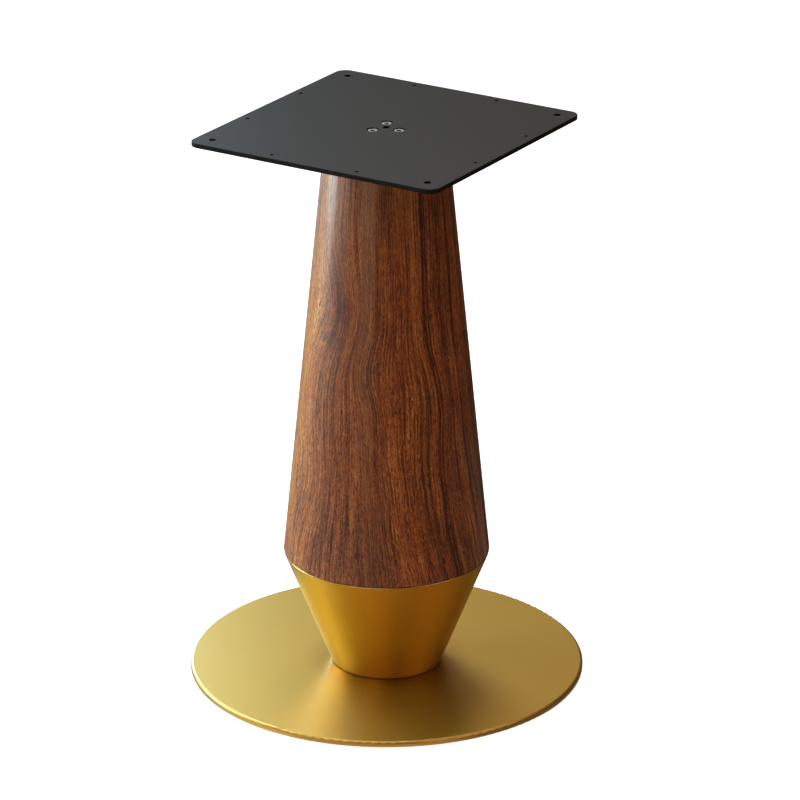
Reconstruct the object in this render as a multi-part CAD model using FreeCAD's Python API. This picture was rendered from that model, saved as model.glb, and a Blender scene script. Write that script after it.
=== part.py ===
"""Pedestal table base: a walnut column on a gilt foot cone and disc, under a square steel plate.

Millimetres, +Z up. The origin is on the floor, on the axis of the column. The plate's sides lie
along X and Y. A steel core runs up inside the column and ties the plate to the disc, so the
wooden shell is only trapped between the plate and the foot cone.
"""
import FreeCAD, Part
import math
import os

from FreeCAD import Vector

# Floor pads, stuck under the disc
PAD_COUNT = 6
PAD_FIRST_ANGLE = 30.0
PAD_DIAMETER = 28.0
PAD_THICKNESS = 3.0
PAD_EDGE_ROUND = 0.6
PAD_INSET = 11.0

# Base disc
DISC_DIAMETER = 500.0
DISC_THICKNESS = 8.0
DISC_TOP_ROUND = 3.5
DISC_BOTTOM_ROUND = 1.5

# Foot cone: an inverted cone of sheet steel with a flat floor, open at its rim
CONE_FOOT_DIAMETER = 139.0
CONE_RIM_DIAMETER = 260.0
CONE_HEIGHT = 152.0
CONE_WALL = 2.5
CONE_FLOOR = 2.5
CONE_FOOT_ROUND = 1.2
CONE_RIM_ROUND = 1.0

# Seat ring, welded inside the foot cone, that the wooden shell stands on
SEAT_DROP = 6.0
SEAT_THICKNESS = 3.0
SEAT_OVERLAP = 4.0

# Column shell: a hollow wooden cone, as wide as the foot cone's rim, its tenon inside that rim
COLUMN_HEIGHT = 550.5
COLUMN_TOP_DIAMETER = 150.0
COLUMN_WALL = 12.0
COLUMN_LIP_ROUND = 0.8
JOINT_GAP = 0.5
TENON_CLEARANCE = 0.3
TENON_CHAMFER = 1.0

# Top plate and its own fixing holes
PLATE_SIDE = 350.0
PLATE_THICKNESS = 6.0
PLATE_CORNER_RADIUS = 15.0
PLATE_EDGE_BREAK = 0.5
CORNER_HOLE_DIAMETER = 9.0
CORNER_HOLE_INSET = 22.5
SIDE_HOLE_DIAMETER = 5.0
SIDE_HOLE_INSET = 12.5
SIDE_HOLE_PITCH = 120.0
PILOT_HOLE_DIAMETER = 9.0

# Hub disc, welded under the plate, that centres the shell and seats the screw heads
HUB_THICKNESS = 8.0
HUB_CLEARANCE = 0.4

# Steel core: a tube with a tapped head and a tapped flange at its foot
TUBE_DIAMETER = 60.0
TUBE_WALL = 2.5
HEAD_THICKNESS = 8.0
HEAD_SPIGOT_LENGTH = 6.0
HEAD_SPIGOT_CLEARANCE = 0.2
FLANGE_THICKNESS = 8.0
FLANGE_CLEARANCE = 4.0
FLANGE_CHAMFER = 1.5

# Socket screws, both kinds with the same thread
THREAD_DIAMETER = 8.0
THREAD_FIT = 0.05
THREAD_POINT = 1.0
SHANK_CLEARANCE = 0.5
SOCKET_ACROSS_FLATS = 6.0
SOCKET_SIDES = 6
SOCKET_DRILL_ANGLE = 30.0

# Low-head screws that hold the plate, their heads sunk in it
TOP_SCREW_COUNT = 3
TOP_SCREW_CIRCLE = 37.0
TOP_SCREW_LENGTH = 16.0
LOW_HEAD_DIAMETER = 13.0
LOW_HEAD_DEPTH_BELOW_PLATE = 1.0
LOW_HEAD_CLEARANCE = 1.0
LOW_HEAD_CHAMFER = 0.6
LOW_HEAD_SOCKET_DEPTH = 2.8

# Countersunk screws that hold the core and the foot cone to the disc, from below
BASE_SCREW_COUNT = 4
BASE_SCREW_FIRST_ANGLE = 45.0
BASE_SCREW_INSET = 16.0
BASE_SCREW_LENGTH = 16.0
SUNK_HEAD_DIAMETER = 16.0
SUNK_HEAD_RECESS = 0.5
SUNK_HEAD_SOCKET_DEPTH = 2.6

# Heights above the floor, from the stack of pieces
DISC_BOTTOM = PAD_THICKNESS
DISC_TOP = DISC_BOTTOM + DISC_THICKNESS
CONE_FLOOR_TOP = DISC_TOP + CONE_FLOOR
FLANGE_TOP = CONE_FLOOR_TOP + FLANGE_THICKNESS
CONE_TOP = DISC_TOP + CONE_HEIGHT
SEAT_TOP = CONE_TOP - SEAT_DROP
SEAT_BOTTOM = SEAT_TOP - SEAT_THICKNESS
COLUMN_BOTTOM = CONE_TOP + JOINT_GAP
COLUMN_TOP = COLUMN_BOTTOM + COLUMN_HEIGHT
PLATE_TOP = COLUMN_TOP + PLATE_THICKNESS
HUB_BOTTOM = COLUMN_TOP - HUB_THICKNESS
HEAD_BOTTOM = HUB_BOTTOM - HEAD_THICKNESS

# Radii that follow from the sizes above
CONE_FOOT_RADIUS = CONE_FOOT_DIAMETER / 2
CONE_RIM_RADIUS = CONE_RIM_DIAMETER / 2
CONE_SLOPE = (CONE_RIM_RADIUS - CONE_FOOT_RADIUS) / CONE_HEIGHT
COLUMN_LIP_RADIUS = CONE_RIM_RADIUS
COLUMN_LIP_BORE = COLUMN_LIP_RADIUS - COLUMN_WALL
COLUMN_CROWN_RADIUS = COLUMN_TOP_DIAMETER / 2
COLUMN_CROWN_BORE = COLUMN_CROWN_RADIUS - COLUMN_WALL
THREAD_RADIUS = THREAD_DIAMETER / 2
TAPPED_DIAMETER = THREAD_DIAMETER + 2 * THREAD_FIT
SHANK_HOLE_DIAMETER = THREAD_DIAMETER + 2 * SHANK_CLEARANCE

# Booleans: how far a cutter runs past a face, and how near an edge's size must match
OVERRUN = 1.0
MATCH = 1e-6


def turned(outline):
    """Solid of revolution about Z from a closed outline of (radius, height) points."""
    corners = [Vector(radius, 0, height) for radius, height in outline]
    face = Part.Face(Part.makePolygon(corners + corners[:1]))
    return face.revolve(Vector(), Vector(0, 0, 1), 360)


def cylinder(diameter, bottom, top, x=0.0, y=0.0):
    """Upright cylinder between two heights."""
    return Part.makeCylinder(diameter / 2, top - bottom, Vector(x, y, bottom))


def through_hole(diameter, bottom, top, x=0.0, y=0.0):
    """Cutter that runs past both faces of what it goes through."""
    return cylinder(diameter, bottom - OVERRUN, top + OVERRUN, x, y)


def drill(solid, places, diameter, bottom, top):
    """The solid with a hole straight through it at each place."""
    for x, y in places:
        solid = solid.cut(through_hole(diameter, bottom, top, x, y))
    return solid


def circle_points(count, radius, first_angle=0.0):
    """Places evenly spread round a circle on the axis, the first at an angle from +X."""
    angles = [math.radians(first_angle + 360 * index / count) for index in range(count)]
    return [(radius * math.cos(angle), radius * math.sin(angle)) for angle in angles]


def rectangle_points(half_x, half_y):
    """The four corners of a rectangle on the axis."""
    return [(side_x * half_x, side_y * half_y) for side_x in (-1, 1) for side_y in (-1, 1)]


def rim_edges(solid, radius, height):
    """Circular edges of one radius at one height."""
    return [
        edge
        for edge in solid.Edges
        if isinstance(edge.Curve, Part.Circle)
        and abs(edge.Curve.Radius - radius) < MATCH
        and abs(edge.Curve.Center.z - height) < MATCH
    ]


def cone_outer_radius(height):
    """Radius of the foot cone's outside at a height above the floor."""
    return CONE_FOOT_RADIUS + (height - DISC_TOP) * CONE_SLOPE


def cone_inner_radius(height):
    """Radius of the foot cone's inside, one wall in, measured square to the slope."""
    return cone_outer_radius(height) - CONE_WALL * math.hypot(1, CONE_SLOPE)


def flange_radius():
    """Radius of the core's flange, just clear of the foot cone's wall."""
    return cone_inner_radius(CONE_FLOOR_TOP) - FLANGE_CLEARANCE


def top_screw_places():
    """Where the screws go down through the hub."""
    return circle_points(TOP_SCREW_COUNT, TOP_SCREW_CIRCLE / 2)


def base_screw_places():
    """Where the screws come up through the disc, a set way in from the flange's edge."""
    radius = flange_radius() - BASE_SCREW_INSET
    return circle_points(BASE_SCREW_COUNT, radius, BASE_SCREW_FIRST_ANGLE)


def pad_places():
    """Where the pads are stuck, a set way in from the disc's edge."""
    radius = (DISC_DIAMETER - PAD_DIAMETER) / 2 - PAD_INSET
    return circle_points(PAD_COUNT, radius, PAD_FIRST_ANGLE)


def hex_socket(depth, mouth, into):
    """Cutter for a hexagon socket with a drilled point, into +1 (up) or -1 (down)."""
    radius = SOCKET_ACROSS_FLATS / 2 / math.cos(math.pi / SOCKET_SIDES)
    start = mouth - into * OVERRUN
    corners = [Vector(x, y, start) for x, y in circle_points(SOCKET_SIDES, radius)]
    hexagon = Part.Face(Part.makePolygon(corners + corners[:1]))
    prism = hexagon.extrude(Vector(0, 0, into * (depth + OVERRUN)))
    drill_radius = SOCKET_ACROSS_FLATS / 2
    drill_depth = drill_radius * math.tan(math.radians(SOCKET_DRILL_ANGLE))
    end = Vector(0, 0, mouth + into * depth)
    return prism.fuse(Part.makeCone(drill_radius, 0, drill_depth, end, Vector(0, 0, into)))


def floor_pad(x, y):
    """One round pad, its lower edge rounded."""
    pad = cylinder(PAD_DIAMETER, 0, PAD_THICKNESS)
    pad = pad.makeFillet(PAD_EDGE_ROUND, rim_edges(pad, PAD_DIAMETER / 2, 0))
    pad.translate(Vector(x, y, 0))
    return pad


def base_disc():
    """Flat disc with rounded edges, countersunk from below."""
    disc = cylinder(DISC_DIAMETER, DISC_BOTTOM, DISC_TOP)
    radius = DISC_DIAMETER / 2
    disc = disc.makeFillet(DISC_TOP_ROUND, rim_edges(disc, radius, DISC_TOP))
    disc = disc.makeFillet(DISC_BOTTOM_ROUND, rim_edges(disc, radius, DISC_BOTTOM))
    disc = drill(disc, base_screw_places(), SHANK_HOLE_DIAMETER, DISC_BOTTOM, DISC_TOP)
    mouth = SUNK_HEAD_DIAMETER / 2 + SUNK_HEAD_RECESS
    hole = SHANK_HOLE_DIAMETER / 2
    for x, y in base_screw_places():
        sink = Part.makeCone(mouth, hole, mouth - hole, Vector(x, y, DISC_BOTTOM))
        disc = disc.cut(sink)
    return disc


def foot_cone():
    """Inverted cone with a flat floor, its foot and rim edges rounded."""
    shell = turned(
        [
            (0, DISC_TOP),
            (CONE_FOOT_RADIUS, DISC_TOP),
            (CONE_RIM_RADIUS, CONE_TOP),
            (cone_inner_radius(CONE_TOP), CONE_TOP),
            (cone_inner_radius(CONE_FLOOR_TOP), CONE_FLOOR_TOP),
            (0, CONE_FLOOR_TOP),
        ]
    )
    shell = shell.makeFillet(CONE_FOOT_ROUND, rim_edges(shell, CONE_FOOT_RADIUS, DISC_TOP))
    shell = shell.makeFillet(CONE_RIM_ROUND, rim_edges(shell, CONE_RIM_RADIUS, CONE_TOP))
    return drill(shell, base_screw_places(), SHANK_HOLE_DIAMETER, DISC_TOP, CONE_FLOOR_TOP)


def seat_ring():
    """Flat ring in the foot cone's mouth, bevelled to the wall that it is welded to."""
    bore = COLUMN_LIP_BORE - SEAT_OVERLAP
    return turned(
        [
            (bore, SEAT_BOTTOM),
            (cone_inner_radius(SEAT_BOTTOM), SEAT_BOTTOM),
            (cone_inner_radius(SEAT_TOP), SEAT_TOP),
            (bore, SEAT_TOP),
        ]
    )


def column_shell():
    """Hollow wooden cone: its lip is just clear of the rim, its tenon stands on the seat ring."""
    tenon = cone_inner_radius(SEAT_TOP) - TENON_CLEARANCE
    shell = turned(
        [
            (COLUMN_LIP_BORE, SEAT_TOP),
            (tenon - TENON_CHAMFER, SEAT_TOP),
            (tenon, SEAT_TOP + TENON_CHAMFER),
            (tenon, COLUMN_BOTTOM),
            (COLUMN_LIP_RADIUS, COLUMN_BOTTOM),
            (COLUMN_CROWN_RADIUS, COLUMN_TOP),
            (COLUMN_CROWN_BORE, COLUMN_TOP),
            (COLUMN_LIP_BORE, COLUMN_BOTTOM),
        ]
    )
    lip = rim_edges(shell, COLUMN_LIP_RADIUS, COLUMN_BOTTOM)
    return shell.makeFillet(COLUMN_LIP_ROUND, lip)


def core_flange():
    """Tapped flange at the foot of the core, standing on the foot cone's floor."""
    flange = cylinder(2 * flange_radius(), CONE_FLOOR_TOP, FLANGE_TOP)
    flange = flange.makeChamfer(FLANGE_CHAMFER, rim_edges(flange, flange_radius(), FLANGE_TOP))
    return drill(flange, base_screw_places(), TAPPED_DIAMETER, CONE_FLOOR_TOP, FLANGE_TOP)


def core_tube():
    """Round tube from the flange to the tapped head."""
    bore = TUBE_DIAMETER - 2 * TUBE_WALL
    outside = cylinder(TUBE_DIAMETER, FLANGE_TOP, HEAD_BOTTOM)
    return outside.cut(through_hole(bore, FLANGE_TOP, HEAD_BOTTOM))


def core_head():
    """Tapped cap on the tube, with a spigot down its bore."""
    spigot = TUBE_DIAMETER - 2 * (TUBE_WALL + HEAD_SPIGOT_CLEARANCE)
    bottom = HEAD_BOTTOM - HEAD_SPIGOT_LENGTH
    head = cylinder(TUBE_DIAMETER, HEAD_BOTTOM, HUB_BOTTOM)
    head = head.fuse(cylinder(spigot, bottom, HEAD_BOTTOM))
    head = head.cut(through_hole(PILOT_HOLE_DIAMETER, bottom, HUB_BOTTOM))
    return drill(head, top_screw_places(), TAPPED_DIAMETER, bottom, HUB_BOTTOM)


def hub_disc():
    """Disc under the plate that fits the column's mouth."""
    diameter = 2 * (COLUMN_CROWN_BORE - HUB_CLEARANCE)
    hub = cylinder(diameter, HUB_BOTTOM, COLUMN_TOP)
    hub = hub.cut(through_hole(PILOT_HOLE_DIAMETER, HUB_BOTTOM, COLUMN_TOP))
    return drill(hub, top_screw_places(), SHANK_HOLE_DIAMETER, HUB_BOTTOM, COLUMN_TOP)


def top_plate():
    """Square plate with rounded corners, a broken edge and its holes."""
    half = PLATE_SIDE / 2
    place = Vector(-half, -half, COLUMN_TOP)
    plate = Part.makeBox(PLATE_SIDE, PLATE_SIDE, PLATE_THICKNESS, place)
    upright = [edge for edge in plate.Edges if edge.BoundBox.ZLength > MATCH]
    plate = plate.makeFillet(PLATE_CORNER_RADIUS, upright)
    level = [edge for edge in plate.Edges if edge.BoundBox.ZLength < MATCH]
    plate = plate.makeChamfer(PLATE_EDGE_BREAK, level)
    corner = half - CORNER_HOLE_INSET
    side = half - SIDE_HOLE_INSET
    pitch = SIDE_HOLE_PITCH / 2
    sides = rectangle_points(side, pitch) + rectangle_points(pitch, side)
    pocket = LOW_HEAD_DIAMETER + 2 * LOW_HEAD_CLEARANCE
    corners = rectangle_points(corner, corner)
    plate = drill(plate, corners, CORNER_HOLE_DIAMETER, COLUMN_TOP, PLATE_TOP)
    plate = drill(plate, sides, SIDE_HOLE_DIAMETER, COLUMN_TOP, PLATE_TOP)
    plate = drill(plate, top_screw_places(), pocket, COLUMN_TOP, PLATE_TOP)
    return plate.cut(through_hole(PILOT_HOLE_DIAMETER, COLUMN_TOP, PLATE_TOP))


def top_screw(x, y):
    """Low-head socket screw that stands on the hub."""
    tip = COLUMN_TOP - TOP_SCREW_LENGTH
    head = LOW_HEAD_DIAMETER / 2
    head_top = PLATE_TOP - LOW_HEAD_DEPTH_BELOW_PLATE
    screw = turned(
        [
            (0, tip),
            (THREAD_RADIUS - THREAD_POINT, tip),
            (THREAD_RADIUS, tip + THREAD_POINT),
            (THREAD_RADIUS, COLUMN_TOP),
            (head, COLUMN_TOP),
            (head, head_top - LOW_HEAD_CHAMFER),
            (head - LOW_HEAD_CHAMFER, head_top),
            (0, head_top),
        ]
    )
    screw = screw.cut(hex_socket(LOW_HEAD_SOCKET_DEPTH, head_top, -1))
    screw.translate(Vector(x, y, 0))
    return screw


def base_screw(x, y):
    """Countersunk socket screw, up through the disc and the foot cone into the flange."""
    face = DISC_BOTTOM + SUNK_HEAD_RECESS
    tip = face + BASE_SCREW_LENGTH
    head = SUNK_HEAD_DIAMETER / 2
    screw = turned(
        [
            (0, face),
            (head, face),
            (THREAD_RADIUS, face + head - THREAD_RADIUS),
            (THREAD_RADIUS, tip - THREAD_POINT),
            (THREAD_RADIUS - THREAD_POINT, tip),
            (0, tip),
        ]
    )
    screw = screw.cut(hex_socket(SUNK_HEAD_SOCKET_DEPTH, face, 1))
    screw.translate(Vector(x, y, 0))
    return screw


def pieces():
    """Every piece of the base, by name."""
    made = {
        "top_plate": top_plate(),
        "hub_disc": hub_disc(),
        "core_head": core_head(),
        "core_tube": core_tube(),
        "core_flange": core_flange(),
        "column_shell": column_shell(),
        "foot_cone": foot_cone(),
        "seat_ring": seat_ring(),
        "base_disc": base_disc(),
    }
    for number, (x, y) in enumerate(top_screw_places(), 1):
        made[f"top_screw_{number}"] = top_screw(x, y)
    for number, (x, y) in enumerate(base_screw_places(), 1):
        made[f"base_screw_{number}"] = base_screw(x, y)
    for number, (x, y) in enumerate(pad_places(), 1):
        made[f"floor_pad_{number}"] = floor_pad(x, y)
    return made


def main():
    """Writes each piece to its own file."""
    os.makedirs("parts", exist_ok=True)
    for name, shape in pieces().items():
        shape.exportStep(f"parts/{name}.step")
        box = shape.BoundBox
        print(f"{name}: {len(shape.Solids)} solid, z {box.ZMin:.2f} to {box.ZMax:.2f}")


main()
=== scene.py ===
"""Studio picture of a pedestal table base: walnut column, gilt foot cone and disc, black plate.

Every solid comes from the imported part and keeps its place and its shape. This file gives the
pieces their finishes and sets up the floor, the backdrop, the soft light and the camera. Lengths
are in metres.
"""

import logging
import math
from collections.abc import Iterable, Mapping
from dataclasses import dataclass, field
from enum import Enum
from typing import Any, Union

import bmesh
import bpy
from mathutils import Matrix, Vector

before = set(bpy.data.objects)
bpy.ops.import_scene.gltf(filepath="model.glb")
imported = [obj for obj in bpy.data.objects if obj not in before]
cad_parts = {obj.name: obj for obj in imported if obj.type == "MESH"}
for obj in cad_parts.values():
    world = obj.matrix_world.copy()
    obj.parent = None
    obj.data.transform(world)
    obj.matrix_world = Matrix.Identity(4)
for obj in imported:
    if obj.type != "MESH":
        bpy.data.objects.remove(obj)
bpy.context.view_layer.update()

LOG = logging.getLogger("table_base")
# The photograph looks at the base from this angle round its axis, counted from straight along +Y
VIEW_TURN = math.radians(31.96)
Operand = Union["Signal", float]
Point = tuple["Signal", "Signal", "Signal"]
Colour = tuple[float, float, float, float]
Stops = Iterable[tuple[float, Colour]]
Place = tuple[float, float, float]
# Where a soft step begins and where it is full
Span = tuple[float, float]
WHITE: Colour = (1.0, 1.0, 1.0, 1.0)


def display(red: int, green: int, blue: int) -> Colour:
    """Turns a display colour into the linear one that shaders take.

    Args:
        red: Red from 0 to 255.
        green: Green from 0 to 255.
        blue: Blue from 0 to 255.

    Returns:
        The linear colour with full alpha.
    """
    low = [channel / 255 for channel in (red, green, blue)]
    linear = [c / 12.92 if c <= 0.04045 else ((c + 0.055) / 1.055) ** 2.4 for c in low]
    return (*linear, 1.0)


class Signal:
    """A number that varies over a surface. Operators on it add Math nodes."""

    def __init__(self, network: "Network", socket: bpy.types.NodeSocket) -> None:
        """Wraps an output socket of one network."""
        self.network = network
        self.socket = socket

    def _math(self, operation: str, *operands: Operand) -> "Signal":
        """Adds one Math node.

        Args:
            operation: The Math node's operation.
            operands: Its inputs in order, as signals or numbers.

        Returns:
            The node's result.
        """
        inputs = dict(enumerate(operands))
        node = self.network.node("ShaderNodeMath", {"operation": operation}, inputs)
        return Signal(self.network, node.outputs[0])

    def __add__(self, other: Operand) -> "Signal":
        """Sum."""
        return self._math("ADD", self, other)

    def __radd__(self, other: Operand) -> "Signal":
        """Sum, from the right."""
        return self._math("ADD", other, self)

    def __sub__(self, other: Operand) -> "Signal":
        """Difference."""
        return self._math("SUBTRACT", self, other)

    def __rsub__(self, other: Operand) -> "Signal":
        """Difference, from the right."""
        return self._math("SUBTRACT", other, self)

    def __mul__(self, other: Operand) -> "Signal":
        """Product."""
        return self._math("MULTIPLY", self, other)

    def __rmul__(self, other: Operand) -> "Signal":
        """Product, from the right."""
        return self._math("MULTIPLY", other, self)

    def __truediv__(self, other: Operand) -> "Signal":
        """Quotient."""
        return self._math("DIVIDE", self, other)

    def __rtruediv__(self, other: Operand) -> "Signal":
        """Quotient, from the right."""
        return self._math("DIVIDE", other, self)

    def __neg__(self) -> "Signal":
        """The same number with its sign turned."""
        return self._math("MULTIPLY", self, -1.0)

    def magnitude(self) -> "Signal":
        """The number without its sign."""
        return self._math("ABSOLUTE", self)

    def at_least(self, other: Operand) -> "Signal":
        """The larger of two numbers."""
        return self._math("MAXIMUM", self, other)

    def fraction(self) -> "Signal":
        """What is left above the whole number below."""
        return self._math("FRACT", self)

    def exponential(self) -> "Signal":
        """The number e to the power of this one."""
        return self._math("EXPONENT", self)

    def turn_from(self, ahead: Operand) -> "Signal":
        """Angle from a length ahead to this length aside, in radians."""
        return self._math("ARCTAN2", self, ahead)

    def swing(self, weight: float) -> "Signal":
        """A noise turned into a weighted swing round zero."""
        return (self - 0.5) * weight

    def step(self, start: float, end: float) -> "Signal":
        """Smooth step from 0 at start to 1 at end, which may run either way.

        Args:
            start: Where the result is 0.
            end: Where the result is 1.

        Returns:
            The step, between 0 and 1.
        """
        node = self.network.node(
            "ShaderNodeMapRange",
            {"interpolation_type": "SMOOTHSTEP", "clamp": True},
            {"Value": self, "From Min": start, "From Max": end, "To Min": 0.0, "To Max": 1.0},
        )
        return Signal(self.network, node.outputs["Result"])


class Network:
    """The node tree of one material, ending in a Principled shader."""

    def __init__(self, name: str) -> None:
        """Makes an empty material with its output and main shader.

        Args:
            name: The material's name.
        """
        self.material = bpy.data.materials.new(name)
        self.material.use_nodes = True
        self.tree = self.material.node_tree
        self.tree.nodes.clear()
        self.shader = self.node("ShaderNodeBsdfPrincipled")
        surface = {"Surface": self.shader.outputs[0]}
        self.output = self.node("ShaderNodeOutputMaterial", inputs=surface)

    def node(
        self,
        kind: str,
        settings: Mapping[str, Any] | None = None,
        inputs: Mapping[str | int, Any] | None = None,
    ) -> bpy.types.Node:
        """Adds one node.

        Args:
            kind: The node's type.
            settings: Its properties, set first. "stops" is a ramp's list of (place, colour).
            inputs: Values or links for its sockets, by name or number.

        Returns:
            The node.
        """
        made = self.tree.nodes.new(kind)
        for name, value in (settings or {}).items():
            if name == "stops":
                self._set_stops(made.color_ramp, value)
            else:
                setattr(made, name, value)
        for name, value in (inputs or {}).items():
            self.feed(made.inputs[name], value)
        return made

    def feed(self, socket: bpy.types.NodeSocket, value: Any) -> None:
        """Gives a socket a link or a value.

        Args:
            socket: The input socket.
            value: A signal, an output socket or a plain value.
        """
        if isinstance(value, Signal):
            value = value.socket
        if isinstance(value, bpy.types.NodeSocket):
            self.tree.links.new(value, socket)
        else:
            socket.default_value = value

    def _set_stops(self, ramp: bpy.types.ColorRamp, stops: Stops) -> None:
        """Writes a ramp's stops.

        Args:
            ramp: The ramp.
            stops: Places and colours, in rising order.
        """
        wanted = list(stops)
        while len(ramp.elements) < len(wanted):
            ramp.elements.new(1.0)
        for element, (place, colour) in zip(ramp.elements, wanted):
            element.position = place
            element.color = colour

    def point(self) -> Point:
        """Reads where the shaded point is.

        Returns:
            Its coordinates in the frame of the part.
        """
        coordinates = self.node("ShaderNodeTexCoord")
        split = self.node("ShaderNodeSeparateXYZ", inputs={0: coordinates.outputs["Object"]})
        return tuple(Signal(self, socket) for socket in split.outputs)

    def vector(self, x: Operand, y: Operand, z: Operand) -> bpy.types.NodeSocket:
        """Three numbers as one vector."""
        return self.node("ShaderNodeCombineXYZ", inputs={0: x, 1: y, 2: z}).outputs[0]

    def noise(
        self, vector: bpy.types.NodeSocket, detail: float, roughness: float = 0.5
    ) -> Signal:
        """Noise of about one blob a unit.

        Args:
            vector: Where it is read.
            detail: Number of finer octaves.
            roughness: Weight of the finer octaves.

        Returns:
            The noise, between 0 and 1.
        """
        inputs = {"Vector": vector, "Scale": 1.0, "Detail": detail, "Roughness": roughness}
        return Signal(self, self.node("ShaderNodeTexNoise", inputs=inputs).outputs[0])

    def speckle(
        self, point: Point, pace: float, detail: float, rise: float | None = None
    ) -> Signal:
        """Noise that fills space.

        Args:
            point: The point's coordinates.
            pace: Blobs a metre.
            detail: Number of finer octaves.
            rise: Blobs a metre upward, where they differ.

        Returns:
            The noise, between 0 and 1.
        """
        x, y, z = point
        return self.noise(self.vector(x * pace, y * pace, z * (rise or pace)), detail)

    def ramp(self, factor: Operand, stops: Stops) -> bpy.types.NodeSocket:
        """A colour picked from stops by a number."""
        made = self.node("ShaderNodeValToRGB", {"stops": stops}, {"Fac": factor})
        return made.outputs["Color"]

    def mix(self, factor: Operand, first: Any, second: Any) -> bpy.types.NodeSocket:
        """Blends two colours.

        Args:
            factor: Share of the second colour.
            first: The colour at factor 0.
            second: The colour at factor 1.

        Returns:
            The blended colour.
        """
        settings = {"data_type": "RGBA", "blend_type": "MIX", "clamp_factor": True}
        made = self.node("ShaderNodeMix", settings, {0: factor, 6: first, 7: second})
        return made.outputs[2]

    def bump(self, height: Operand, depth: float) -> None:
        """Raises the surface by a height, depth metres at height 1."""
        inputs = {"Strength": 1.0, "Distance": depth, "Height": height}
        self.set(Normal=self.node("ShaderNodeBump", inputs=inputs).outputs[0])

    def set(self, **sockets: Any) -> None:
        """Feeds sockets of the main shader, named with underscores for spaces."""
        for name, value in sockets.items():
            self.feed(self.shader.inputs[name.replace("_", " ")], value)


@dataclass(frozen=True)
class PowderCoat:
    """Satin black powder coat with a faint orange peel, duller on cut edges, with painted shade that
    makes its holes black.

    rim gives the distances from the plate's middle, across a side, between which its outer rim
    begins, and wall the squares of how far a face looks up between which it counts as cut.
    """

    colour: Colour = display(44, 48, 45)
    cloudy: Colour = display(47, 51, 48)
    edge: Colour = display(30, 31, 27)
    # Painted shade: the near-black colour of the walls of the holes.
    painted_hole_shade: Colour = display(3, 3, 3)
    rim: Span = (0.1665, 0.1690)
    wall: Span = (0.6, 0.1)
    roughness: float = 0.44
    cloud_rough: float = 0.06
    peel_rough: float = 0.05
    wall_rough: float = 0.3
    specular: float = 0.13
    cloud_share: float = 0.3
    cloud_pace: float = 9.0
    peel_pace: float = 625.0
    peel_depth: float = 0.00004

    def material(self) -> bpy.types.Material:
        """Makes the finish.

        Returns:
            The material.
        """
        net = Network("satin black powder coat")
        point = net.point()
        peel = net.speckle(point, self.peel_pace, 1.0)
        cloud = net.speckle(point, self.cloud_pace, 3.0)
        facing = net.node("ShaderNodeNewGeometry").outputs["Normal"]
        rise = Signal(net, net.node("ShaderNodeSeparateXYZ", inputs={0: facing}).outputs[2])
        wall = (rise * rise).step(*self.wall)
        reach = point[0].magnitude().at_least(point[1].magnitude())
        # Side faces inside the outer rim are the walls of the holes and get painted shade. Side faces on
        # the rim get the duller edge colour.
        cut = net.mix(reach.step(*self.rim), self.painted_hole_shade, self.edge)
        body = net.mix(cloud * self.cloud_share, self.colour, self.cloudy)
        roughness = self.roughness + cloud.swing(self.cloud_rough) + peel.swing(self.peel_rough)
        net.set(
            Base_Color=net.mix(wall, body, cut),
            Roughness=roughness + wall * self.wall_rough,
            Specular_IOR_Level=self.specular,
        )
        net.bump(peel, self.peel_depth)
        return net.material


@dataclass(frozen=True)
class Mark:
    """A place where the gold turns to another tone, used here for painted shade and painted highlights.

    It starts and is full at two heights, or at two distances from the axis. share is how much of
    its colour shows there, and rough and coat are what it adds to roughness and lacquer.
    """

    colour: Colour
    share: float
    start: float
    full: float
    rough: float = 0.0
    coat: float = 0.0


@dataclass(frozen=True)
class SatinGold:
    """Fine satin gold plating under clear lacquer, with marks by height and by distance, among them
    painted shade and painted highlights.
    """

    colour: Colour
    deep: Colour
    roughness: float
    coat: float
    up: tuple[Mark, ...] = ()
    out: tuple[Mark, ...] = ()
    coat_roughness: float = 0.22
    deep_share: float = 0.5
    cloud_rough: float = 0.05
    grit_rough: float = 0.06
    cloud_pace: float = 11.0
    grit_pace: float = 2600.0
    grit_depth: float = 0.000004

    def material(self) -> bpy.types.Material:
        """Makes the finish.

        Returns:
            The material.
        """
        net = Network("satin gold")
        x, y, z = point = net.point()
        grit = net.speckle(point, self.grit_pace, 1.0)
        cloud = net.speckle(point, self.cloud_pace, 3.0)
        gold = net.mix(cloud * self.deep_share, self.colour, self.deep)
        roughness = self.roughness + cloud.swing(self.cloud_rough) + grit.swing(self.grit_rough)
        coat: Operand = self.coat
        away = x * x + y * y
        marks = [(mark, away.step(mark.start ** 2, mark.full ** 2)) for mark in self.out]
        marks += [(mark, z.step(mark.start, mark.full)) for mark in self.up]
        for mark, amount in marks:
            gold = net.mix(amount * mark.share, gold, mark.colour)
            roughness = roughness + amount * mark.rough
            coat = amount * mark.coat + coat
        net.set(
            Base_Color=gold,
            Metallic=1.0,
            Roughness=roughness,
            Coat_Weight=coat,
            Coat_Roughness=self.coat_roughness,
        )
        net.bump(grit, self.grit_depth)
        return net.material


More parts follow.
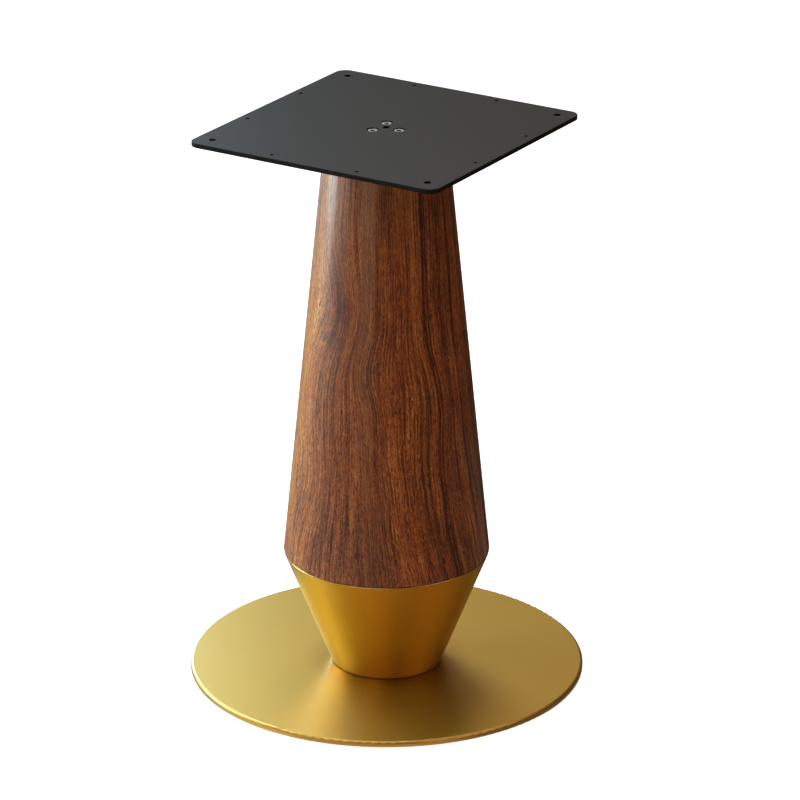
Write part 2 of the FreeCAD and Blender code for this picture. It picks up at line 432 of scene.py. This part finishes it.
@dataclass(frozen=True)
class Steel:
    """Plain or zinc-plated steel with fine mill marks, with painted shade that darkens the inside of a
    screw's socket.

    The span field gives the heights at which the painted shade inside the socket starts and is full.
    """

    name: str
    colour: Colour
    roughness: float
    socket_shade: Span = (-0.0001, -0.0008)
    dull: Colour = display(120, 122, 124)
    dull_share: float = 0.15
    socket_shade_colour: Colour = display(58, 50, 42)
    socket_shade_share: float = 0.85
    socket_rough: float = 0.15
    mark_rough: float = 0.08
    cloud_pace: float = 60.0
    mark_pace: float = 900.0
    mark_rise: float = 120.0
    mark_depth: float = 0.000006

    def material(self) -> bpy.types.Material:
        """Makes the finish.

        Returns:
            The material.
        """
        net = Network(self.name)
        point = net.point()
        # Painted shade: darker and rougher below the given height, inside a screw's socket.
        socket_shade = point[2].step(*self.socket_shade)
        marks = net.speckle(point, self.mark_pace, 3.0, self.mark_rise)
        cloud = net.speckle(point, self.cloud_pace, 3.0)
        plain = net.mix(cloud * self.dull_share, self.colour, self.dull)
        roughness = self.roughness + marks.swing(self.mark_rough) + socket_shade * self.socket_rough
        net.set(
            Base_Color=net.mix(socket_shade * self.socket_shade_share, plain, self.socket_shade_colour),
            Metallic=1.0,
            Roughness=roughness,
        )
        net.bump(marks, self.mark_depth)
        return net.material


@dataclass(frozen=True)
class PadRubber:
    """Matt black rubber with a fine grain."""

    colour: Colour = display(26, 26, 27)
    dusty: Colour = display(44, 44, 45)
    dusty_share: float = 0.4
    roughness: float = 0.78
    grain_rough: float = 0.2
    grain_pace: float = 1400.0
    grain_depth: float = 0.00005

    def material(self) -> bpy.types.Material:
        """Makes the finish.

        Returns:
            The material.
        """
        net = Network("matt black rubber")
        grain = net.speckle(net.point(), self.grain_pace, 2.0)
        net.set(
            Base_Color=net.mix(grain * self.dusty_share, self.colour, self.dusty),
            Roughness=self.roughness + grain.swing(self.grain_rough),
        )
        net.bump(grain, self.grain_depth)
        return net.material


@dataclass(frozen=True)
class Layer:
    """One scale of the wood's figure.

    across and along are blobs a metre, cut is the slice of the noise that is read, detail and
    rough are its finer octaves, and weight is how much it counts.
    """

    across: float
    along: float
    cut: float
    detail: float = 2.0
    rough: float = 0.5
    weight: float = 1.0

    def read(self, net: Network, across: Signal, along: Signal) -> Signal:
        """The layer's noise, between 0 and 1."""
        vector = net.vector(across * self.across, along * self.along, self.cut)
        return net.noise(vector, self.detail, self.rough)


@dataclass(frozen=True)
class Oval:
    """A soft oval place on the sheet of veneer: a knot or a cloud.

    across is metres along the girth from the front, height is above the floor. strength is how far
    a knot pushes the grain aside, in metres, or how dark a cloud is.
    """

    across: float
    height: float
    width: float
    length: float
    strength: float

    def hill(self, across: Signal, height: Signal) -> Signal:
        """Raises a soft hill on the place.

        Args:
            across: Metres along the girth from the front.
            height: Metres above the floor.

        Returns:
            The hill, 1 in the middle of the place and 0 well outside it.
        """
        aside = (across - self.across) / self.width
        above = (height - self.height) / self.length
        return (-(aside * aside + above * above)).exponential()


@dataclass(frozen=True)
class Streak:
    """A band of another colour that follows the grain, in metres across the growth rings."""

    ring: float
    width: float
    strength: float

    def amount(self, grain: Signal) -> Signal:
        """How much of the streak there is at each growth ring."""
        away = (grain - self.ring) / self.width
        return (-(away * away)).exponential() * self.strength


@dataclass(frozen=True)
class Flow:
    """How the grain wanders up the sheet, leans aside low down and flows round knots."""

    wander: tuple[Layer, ...] = (
        Layer(7.0, 2.2, 0.0, 1.0, weight=0.026),
        Layer(60.0, 20.0, 4.0, weight=0.0040),
        Layer(220.0, 90.0, 6.0, 1.0, weight=0.0011),
    )
    lean: float = 0.20
    lean_top: float = 0.5
    lean_side: Span = (-0.10, 0.06)
    knots: tuple[Oval, ...] = (
        Oval(-0.080, 0.512, 0.042, 0.062, 0.030),
        Oval(-0.030, 0.440, 0.030, 0.040, -0.012),
        Oval(-0.108, 0.285, 0.036, 0.060, 0.016),
        Oval(0.062, 0.395, 0.040, 0.060, 0.012),
        Oval(0.190, 0.430, 0.040, 0.075, 0.036),
        Oval(-0.240, 0.360, 0.042, 0.070, 0.038),
    )

    def grain(self, net: Network, across: Signal, height: Signal) -> Signal:
        """Bends the sheet's distance round the girth into the coordinate that the grain follows.

        Args:
            net: The material.
            across: Metres along the girth from the front.
            height: Metres above the floor.

        Returns:
            The coordinate across the growth rings, in metres.
        """
        grain = across
        for layer in self.wander:
            grain = grain + layer.read(net, across, height).swing(layer.weight)
        low = (self.lean_top - height).at_least(0.0)
        grain = grain - low * low * across.step(*self.lean_side) * self.lean
        for knot in self.knots:
            grain = grain - knot.hill(across, height) * knot.strength
        return grain


@dataclass(frozen=True)
class LateWood:
    """Thin dark lines, pace of them a metre, unevenly spaced and seen only in places."""

    pace: float = 235.0
    stray: Layer = Layer(32.0, 1.4, 8.8, weight=9.0)
    presence: Layer = Layer(60.0, 5.0, 6.6)
    seen: Span = (0.38, 0.66)
    rise: Span = (0.35, 0.88)
    fall: Span = (1.0, 0.92)

    def amount(self, net: Network, grain: Signal, height: Signal) -> Signal:
        """Draws the lines.

        Args:
            net: The material.
            grain: Metres across the growth rings.
            height: Metres above the floor.

        Returns:
            How much late wood there is, 1 on a line.
        """
        stray = self.stray.read(net, grain, height) * self.stray.weight
        phase = (grain * self.pace + stray).fraction()
        presence = self.presence.read(net, grain, height).step(*self.seen)
        return phase.step(*self.rise) * phase.step(*self.fall) * presence


@dataclass(frozen=True)
class Pores:
    """Short dark pores along the grain, crowded in places."""

    pits: Layer = Layer(1150.0, 105.0, 9.4, 1.0)
    crowd: Layer = Layer(80.0, 9.0, 5.1)
    seen: Span = (0.57, 0.68)
    least: float = 0.4

    def amount(self, net: Network, grain: Signal, height: Signal) -> Signal:
        """How deep a pore is, above 0 in a pore."""
        pits = self.pits.read(net, grain, height).step(*self.seen)
        return pits * (self.least + self.crowd.read(net, grain, height))


@dataclass(frozen=True)
class Clouds:
    """Darker clouded places with ragged outlines."""

    ragged_across: Layer = Layer(46.0, 30.0, 8.0, 4.0, 0.65, 0.030)
    ragged_along: Layer = Layer(46.0, 30.0, 3.0, 4.0, 0.65, 0.040)
    outline: Span = (0.10, 0.62)
    places: tuple[Oval, ...] = (
        Oval(-0.084, 0.515, 0.022, 0.042, 0.10),
        Oval(-0.083, 0.473, 0.018, 0.006, 0.13),
        Oval(-0.056, 0.515, 0.009, 0.022, 0.09),
        Oval(-0.112, 0.290, 0.026, 0.056, 0.10),
        Oval(-0.095, 0.225, 0.030, 0.040, 0.09),
        Oval(0.215, 0.440, 0.030, 0.050, 0.16),
        Oval(-0.235, 0.350, 0.030, 0.050, 0.16),
    )

    def amount(self, net: Network, across: Signal, height: Signal) -> Signal:
        """Draws the clouds.

        Args:
            net: The material.
            across: Metres along the girth from the front.
            height: Metres above the floor.

        Returns:
            How much they darken the wood.
        """
        aside = self.ragged_across.read(net, across, height).swing(self.ragged_across.weight)
        above = self.ragged_along.read(net, across, height).swing(self.ragged_along.weight)
        across, height = across + aside, height + above
        return sum(
            place.hill(across, height).step(*self.outline) * place.strength
            for place in self.places
        )


@dataclass(frozen=True)
class Walnut:
    """Satin-lacquered walnut veneer, its grain running up the column.

    girth is the mean radius that turns an angle into metres along the girth. A tone of 0 is the
    darkest wood and 1 the palest. Each _tone, _rough and _relief field is what its feature adds to
    the tone, the roughness and the raised grain.
    """

    girth: float = 0.105
    flow: Flow = Flow()
    late_wood: LateWood = LateWood()
    pores: Pores = Pores()
    clouds: Clouds = Clouds()
    broad: Layer = Layer(24.0, 1.2, 3.1, weight=0.58)
    bands: Layer = Layer(105.0, 2.6, 7.7, 3.0, 0.6, 0.36)
    lines: Layer = Layer(640.0, 11.0, 1.3, 3.0, 0.8, 1.35)
    fibre: Layer = Layer(1500.0, 150.0, 5.9, 2.0, 0.7, 1.0)
    mottle: Layer = Layer(60.0, 42.0, 2.2, 4.0, 0.6, 0.22)
    dust: Layer = Layer(900.0, 420.0, 0.7, weight=0.50)
    middle_tone: float = 0.502
    late_tone: float = -0.22
    # Pale band on the left side: partly sapwood, partly painted light where the left lamps fall on it.
    sap_and_light_tone: float = 0.20
    sap_and_light_front: Span = (-0.050, -0.120)
    sap_and_light_back: Span = (-0.215, -0.150)
    sap_and_light_height: Span = (0.06, 0.36)
    # Painted shade: a slightly darker right side of the column.
    right_shade_tone: float = -0.015
    right_side: Span = (0.02, 0.11)
    left_tone: float = -0.06
    left_side: Span = (-0.150, -0.230)
    cloud_tone: float = 0.20
    cloud_mottle: float = 0.9
    streak_tone: float = -0.40
    dark_streaks: tuple[Streak, ...] = (
        Streak(-0.049, 0.0030, 0.5),
        Streak(0.055, 0.0026, 0.9),
        Streak(0.060, 0.0012, 0.8),
        Streak(0.082, 0.0016, 0.5),
        Streak(0.102, 0.0022, 0.8),
        Streak(0.130, 0.0040, 0.5),
        Streak(0.215, 0.0040, 0.6),
        Streak(-0.205, 0.0050, 0.6),
        Streak(-0.280, 0.0040, 0.6),
    )
    grey_streaks: tuple[Streak, ...] = (
        Streak(-0.028, 0.013, 0.8),
        Streak(0.036, 0.010, 0.35),
        Streak(-0.160, 0.020, 0.5),
        Streak(0.165, 0.024, 0.5),
        Streak(0.255, 0.016, 0.6),
    )
    tones: tuple[tuple[float, Colour], ...] = (
        (0.14, display(62, 30, 15)),
        (0.36, display(126, 70, 36)),
        (0.52, display(178, 103, 51)),
        (0.68, display(197, 125, 63)),
        (0.88, display(236, 180, 106)),
    )
    dark_ash: Colour = display(80, 50, 32)
    pale_ash: Colour = display(146, 102, 70)
    ash_share: float = 0.45
    pore_colour: Colour = display(30, 13, 6)
    pore_share: float = 0.75
    roughness: float = 0.42
    fibre_rough: float = 0.10
    pore_rough: float = 0.16
    lacquer: float = 0.45
    lacquer_roughness: float = 0.21
    relief: float = 0.00028
    fibre_relief: float = 0.4
    line_relief: float = 0.5
    pore_relief: float = -0.6
    late_relief: float = -0.25

    def material(self) -> bpy.types.Material:
        """Makes the finish.

        Returns:
            The material.
        """
        net = Network("walnut veneer")
        across, height = self._sheet(net)
        grain = self.flow.grain(net, across, height)
        lines = self.lines.read(net, grain, height)
        fibre = self.fibre.read(net, grain, height)
        mottle = self.mottle.read(net, across, height)
        late = self.late_wood.amount(net, grain, height)
        pore = self.pores.amount(net, grain, height)
        tone = (
            self.middle_tone
            + self.broad.read(net, grain, height).swing(self.broad.weight)
            + self.bands.read(net, grain, height).swing(self.bands.weight)
            + lines.swing(self.lines.weight)
            + fibre.swing(self.fibre.weight)
            + mottle.swing(self.mottle.weight)
            + self.dust.read(net, across, height).swing(self.dust.weight)
            + late * self.late_tone
            + self._heart(across, height)
            - self.clouds.amount(net, across, height) * (self.cloud_tone + mottle * self.cloud_mottle)
            + sum(streak.amount(grain) for streak in self.dark_streaks) * self.streak_tone
        )
        colour = net.ramp(tone, self.tones)
        grey = sum(streak.amount(grain) for streak in self.grey_streaks)
        ash = net.mix(lines, self.dark_ash, self.pale_ash)
        colour = net.mix(grey * self.ash_share, colour, ash)
        colour = net.mix(pore * self.pore_share, colour, self.pore_colour)
        net.set(
            Base_Color=colour,
            Roughness=self.roughness + fibre.swing(self.fibre_rough) + pore * self.pore_rough,
            Coat_Weight=self.lacquer,
            Coat_Roughness=self.lacquer_roughness,
        )
        relief = fibre * self.fibre_relief + lines * self.line_relief
        net.bump(relief + pore * self.pore_relief + late * self.late_relief, self.relief)
        return net.material

    def _sheet(self, net: Network) -> tuple[Signal, Signal]:
        """Unrolls the veneer.

        Args:
            net: The material.

        Returns:
            Metres along the girth from the front, and metres above the floor.
        """
        x, y, z = net.point()
        right = x * math.cos(VIEW_TURN) + y * math.sin(VIEW_TURN)
        front = x * math.sin(VIEW_TURN) - y * math.cos(VIEW_TURN)
        return right.turn_from(front) * self.girth, z

    def _heart(self, across: Signal, height: Signal) -> Signal:
        """Tells pale sapwood from darker heartwood. The pale left band is partly sapwood and partly
        painted light, and the darker right side is painted shade.

        Args:
            across: Metres along the girth from the front.
            height: Metres above the floor.

        Returns:
            What they add to the tone.
        """
        sap_and_light = across.step(*self.sap_and_light_front) * across.step(*self.sap_and_light_back)
        sap_and_light = sap_and_light * height.step(*self.sap_and_light_height) * self.sap_and_light_tone
        right = across.step(*self.right_side) * self.right_shade_tone
        return sap_and_light + right + across.step(*self.left_side) * self.left_tone


@dataclass(frozen=True)
class StudioWhite:
    """Plain pale paint of the floor and the backdrop, clear from its back."""

    colour: Colour = (0.5, 0.5, 0.5, 1.0)
    roughness: float = 0.9
    glow: float = 1.0

    def material(self) -> bpy.types.Material:
        """Makes the finish.

        Returns:
            The material.
        """
        net = Network("pale studio")
        net.set(
            Base_Color=self.colour,
            Roughness=self.roughness,
            Specular_IOR_Level=0.0,
            Emission_Color=WHITE,
            Emission_Strength=self.glow,
        )
        back = net.node("ShaderNodeNewGeometry").outputs["Backfacing"]
        clear = net.node("ShaderNodeBsdfTransparent").outputs[0]
        sides = {0: back, 1: net.shader.outputs[0], 2: clear}
        both = net.node("ShaderNodeMixShader", inputs=sides).outputs[0]
        net.feed(net.output.inputs["Surface"], both)
        return net.material


def seen_from_camera(place: Place) -> Vector:
    """Turns a place given as the camera sees it into one in the frame of the part.

    Args:
        place: Metres to the camera's right, level and away from it, and up, from the part's origin.

    Returns:
        The place.
    """
    right = Vector((math.cos(VIEW_TURN), math.sin(VIEW_TURN), 0.0))
    away = Vector((-math.sin(VIEW_TURN), math.cos(VIEW_TURN), 0.0))
    return right * place[0] + away * place[1] + Vector((0.0, 0.0, place[2]))


def dress(node: str, material: bpy.types.Material) -> None:
    """Gives one solid of the part its finish.

    Its shading stays as it comes with the part, whose roundings have their exact slopes.

    Args:
        node: The solid's name.
        material: Its finish.
    """
    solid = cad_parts[node]
    if not solid.material_slots:
        solid.data.materials.append(material)
    for slot in solid.material_slots:
        slot.material = material
    LOG.info("%s: %s", node, material.name)


def dress_row(name: str, count: int, material: bpy.types.Material) -> None:
    """Gives solids that are numbered from 1 the same finish.

    Args:
        name: Their name without the number.
        count: How many there are.
        material: Their finish.
    """
    for number in range(1, count + 1):
        dress(f"{name}_{number}", material)


@dataclass
class Top:
    """The plate with its hub and the screws that hold it."""

    screw_count: int = 3
    coat: PowderCoat = field(default_factory=PowderCoat)
    # The span puts painted shade in the screw heads' sockets, below their tops.
    zinc: Steel = Steel("bright zinc plate", display(238, 252, 250), 0.32, (0.7189, 0.7182))

    def build(self) -> None:
        """Dresses the plate, the hub and the screws."""
        black = self.coat.material()
        dress("top_plate", black)
        dress("hub_disc", black)
        dress_row("top_screw", self.screw_count, self.zinc.material())


@dataclass
class Column:
    """The wooden shell and the steel core inside it."""

    wood: Walnut = field(default_factory=Walnut)
    steel: Steel = Steel("mill steel", display(150, 150, 150), 0.42)

    def build(self) -> None:
        """Dresses the shell and the core."""
        dress("column_shell", self.wood.material())
        bare = self.steel.material()
        for node in ("core_head", "core_tube", "core_flange", "seat_ring"):
            dress(node, bare)


@dataclass
class Foot:
    """The gilt cone and disc, the screws under them and the floor pads.

    The cone has a painted shadow at its foot, where it meets the disc, and a painted highlight on its
    smoother rim. The disc has painted shade round the cone and a painted highlight on its glossier outer
    edge.
    """

    screw_count: int = 4
    pad_count: int = 6
    cone_gold: SatinGold = SatinGold(
        display(207, 168, 78), display(204, 165, 75), 0.38, 0.12,
        up=(
            # Painted shadow: a dark band at the cone's foot, where it meets the disc.
            Mark(display(52, 28, 4), 0.85, 0.0130, 0.0118),
            # Painted highlight: a pale band along the cone's rim, which is also smoother there.
            Mark(display(245, 222, 165), 0.6, 0.1619, 0.1625, rough=-0.12),
        ),
    )
    disc_gold: SatinGold = SatinGold(
        display(210, 174, 65), display(206, 170, 62), 0.44, 0.60,
        out=(
            # Painted highlight: a pale band on the disc's outer edge, which also carries more lacquer.
            Mark(display(245, 226, 180), 0.12, 0.2478, 0.2488, coat=0.4),
            # Painted shade: a deeper, darker ring on the disc round the cone's foot.
            Mark(display(172, 130, 32), 0.4, 0.1115, 0.0715),
        ),
    )
    zinc: Steel = Steel("zinc plate", display(205, 206, 208), 0.30)
    rubber: PadRubber = field(default_factory=PadRubber)

    def build(self) -> None:
        """Dresses the cone, the disc, their screws and the pads."""
        dress("foot_cone", self.cone_gold.material())
        dress("base_disc", self.disc_gold.material())
        dress_row("base_screw", self.screw_count, self.zinc.material())
        dress_row("floor_pad", self.pad_count, self.rubber.material())


class Tint(Enum):
    """Colour of a soft box, from cold to warm."""

    SKY = (0.60, 0.90, 1.48)
    BLUE = (0.68, 0.95, 1.36)
    COOL = (0.75, 1.05, 1.26)
    NEUTRAL = (0.99, 1.09, 1.03)
    WARM = (1.13, 0.96, 0.91)
    AMBER = (1.38, 0.94, 0.66)


@dataclass(frozen=True)
class SoftLight:
    """A soft box, placed in metres as the camera sees it: to the right, away from it and up.

    It faces the middle of the part unless it says toward what. flow is its power in watts a square
    metre.
    """

    name: str
    place: Place
    width: float
    tall: float
    flow: float
    tint: Tint
    toward: Place = (0.0, 0.0, 0.35)

    def build(self) -> None:
        """Adds the light."""
        lamp = bpy.data.lights.new(self.name, "AREA")
        lamp.shape = "RECTANGLE"
        lamp.size, lamp.size_y = self.width, self.tall
        lamp.energy = self.flow * self.width * self.tall
        lamp.color = self.tint.value
        box = bpy.data.objects.new(self.name, lamp)
        box.location = seen_from_camera(self.place)
        look = seen_from_camera(self.toward) - box.location
        box.rotation_euler = look.to_track_quat("-Z", "Y").to_euler()
        box.visible_camera = False
        bpy.context.scene.collection.objects.link(box)


@dataclass
class Studio:
    """Floor, backdrop, soft light and camera.

    The camera's lens and sensor are in millimetres and its two looks in radians.
    """

    room_side: float = 60.0
    backdrop_cuts: int = 4
    world_light: float = 0.012
    lens: float = 200.095
    sensor: float = 36.0
    camera_away: float = 5.1641
    camera_height: float = 2.39575
    look_down: float = 0.37505
    look_aside: float = 0.00328
    lights: tuple[SoftLight, ...] = (
        SoftLight("back left low", (-1.0, 2.4, 0.35), 1.0, 0.7, 32.0, Tint.SKY, (-1.0, 0.0, 0.35)),
        SoftLight("back left middle", (-1.25, 2.4, 1.05), 1.5, 0.7, 14.0, Tint.BLUE, (-1.25, 0.0, 1.05)),
        SoftLight("back left high", (-1.25, 2.4, 1.75), 1.5, 0.7, 13.0, Tint.COOL, (-1.25, 0.0, 1.75)),
        SoftLight("back right", (0.5, 2.4, 0.7), 2.0, 1.4, 0.66, Tint.AMBER, (0.5, 0.0, 0.7)),
        SoftLight("left low", (-1.8, 0.6, 0.5), 0.9, 0.6, 32.5, Tint.NEUTRAL, (0.0, 0.6, 0.5)),
        SoftLight("left middle", (-1.8, 0.7, 0.95), 0.6, 0.5, 26.0, Tint.NEUTRAL, (0.0, 0.7, 0.95)),
        SoftLight("left front", (-1.8, -0.3, 0.65), 1.2, 1.2, 2.6, Tint.WARM, (0.0, -0.3, 0.65)),
        SoftLight("front left", (-1.3, -2.25, 0.53), 1.1, 1.1, 3.8, Tint.AMBER),
        SoftLight("right", (2.0, -1.16, 1.53), 2.2, 1.1, 2.4, Tint.AMBER),
        SoftLight("top back", (0.0, 1.6, 2.4), 1.1, 1.1, 9.2, Tint.WARM),
        SoftLight("top left", (-1.39, 0.8, 2.4), 1.1, 1.1, 19.8, Tint.COOL),
        SoftLight("top", (0.0, -0.09, 2.95), 1.1, 1.1, 11.7, Tint.WARM),
        SoftLight("top front", (-0.8, -1.39, 2.4), 2.2, 1.1, 3.1, Tint.AMBER),
        SoftLight("top right", (1.6, 0.0, 2.4), 2.2, 1.1, 2.0, Tint.AMBER),
        SoftLight("floor front", (-0.25, -0.92, -0.12), 1.5, 1.4, 1.25, Tint.AMBER, (-0.25, -0.92, 1.0)),
        SoftLight("floor right", (1.02, 0.0, -0.12), 1.6, 1.6, 0.38, Tint.AMBER, (1.02, 0.0, 1.0)),
        SoftLight("floor left", (-1.02, 0.0, -0.12), 1.6, 1.6, 1.20, Tint.NEUTRAL, (-1.02, 0.0, 1.0)),
        SoftLight("under", (0.0, 0.0, -1.5), 1.6, 1.6, 1.2, Tint.WARM),
    )

    def build(self) -> None:
        """Sets up everything round the part."""
        self._room()
        self._world()
        for light in self.lights:
            light.build()
        self._camera()
        view = bpy.context.scene.view_settings
        view.view_transform = "Standard"
        view.look = "None"

    def _room(self) -> None:
        """Adds the floor, and far round it a backdrop that faces inward."""
        paint = StudioWhite().material()
        reach = self.room_side / 2
        floor = bmesh.new()
        bmesh.ops.create_grid(floor, x_segments=1, y_segments=1, size=reach)
        self._stand("floor", floor, paint)
        backdrop = bmesh.new()
        bmesh.ops.create_icosphere(backdrop, subdivisions=self.backdrop_cuts, radius=reach)
        bmesh.ops.reverse_faces(backdrop, faces=backdrop.faces)
        self._stand("backdrop", backdrop, paint)

    def _stand(self, name: str, shape: bmesh.types.BMesh, paint: bpy.types.Material) -> None:
        """Adds one side of the room, which gives the part neither light nor shadow.

        Args:
            name: The side's name.
            shape: Its faces, which are freed.
            paint: Its finish.
        """
        mesh = bpy.data.meshes.new(name)
        shape.to_mesh(mesh)
        shape.free()
        mesh.materials.append(paint)
        side = bpy.data.objects.new(name, mesh)
        side.visible_glossy = False
        side.visible_diffuse = False
        side.visible_shadow = False
        bpy.context.scene.collection.objects.link(side)

    def _world(self) -> None:
        """Sets a plain, even sky."""
        world = bpy.data.worlds.new("studio")
        world.use_nodes = True
        sky = world.node_tree.nodes["Background"]
        sky.inputs["Color"].default_value = WHITE
        sky.inputs["Strength"].default_value = self.world_light
        bpy.context.scene.world = world

    def _camera(self) -> None:
        """Puts the camera where the photograph was taken from."""
        lens = bpy.data.cameras.new("camera")
        lens.lens = self.lens
        lens.sensor_width = self.sensor
        up = Vector((0.0, 0.0, 1.0))
        level = seen_from_camera((math.sin(self.look_aside), math.cos(self.look_aside), 0.0))
        look = level * math.cos(self.look_down) - up * math.sin(self.look_down)
        side = look.cross(up).normalized()
        turn = Matrix((side, side.cross(look), -look)).transposed()
        camera = bpy.data.objects.new("camera", lens)
        camera.rotation_euler = turn.to_euler()
        camera.location = seen_from_camera((0.0, -self.camera_away, self.camera_height))
        bpy.context.scene.collection.objects.link(camera)
        bpy.context.scene.camera = camera


def main() -> None:
    """Dresses the part from the top down and sets up the studio."""
    logging.basicConfig(level=logging.INFO)
    for piece in (Top(), Column(), Foot(), Studio()):
        piece.build()
        LOG.info("%s is ready", type(piece).__name__)


if __name__ == "__main__":
    main()
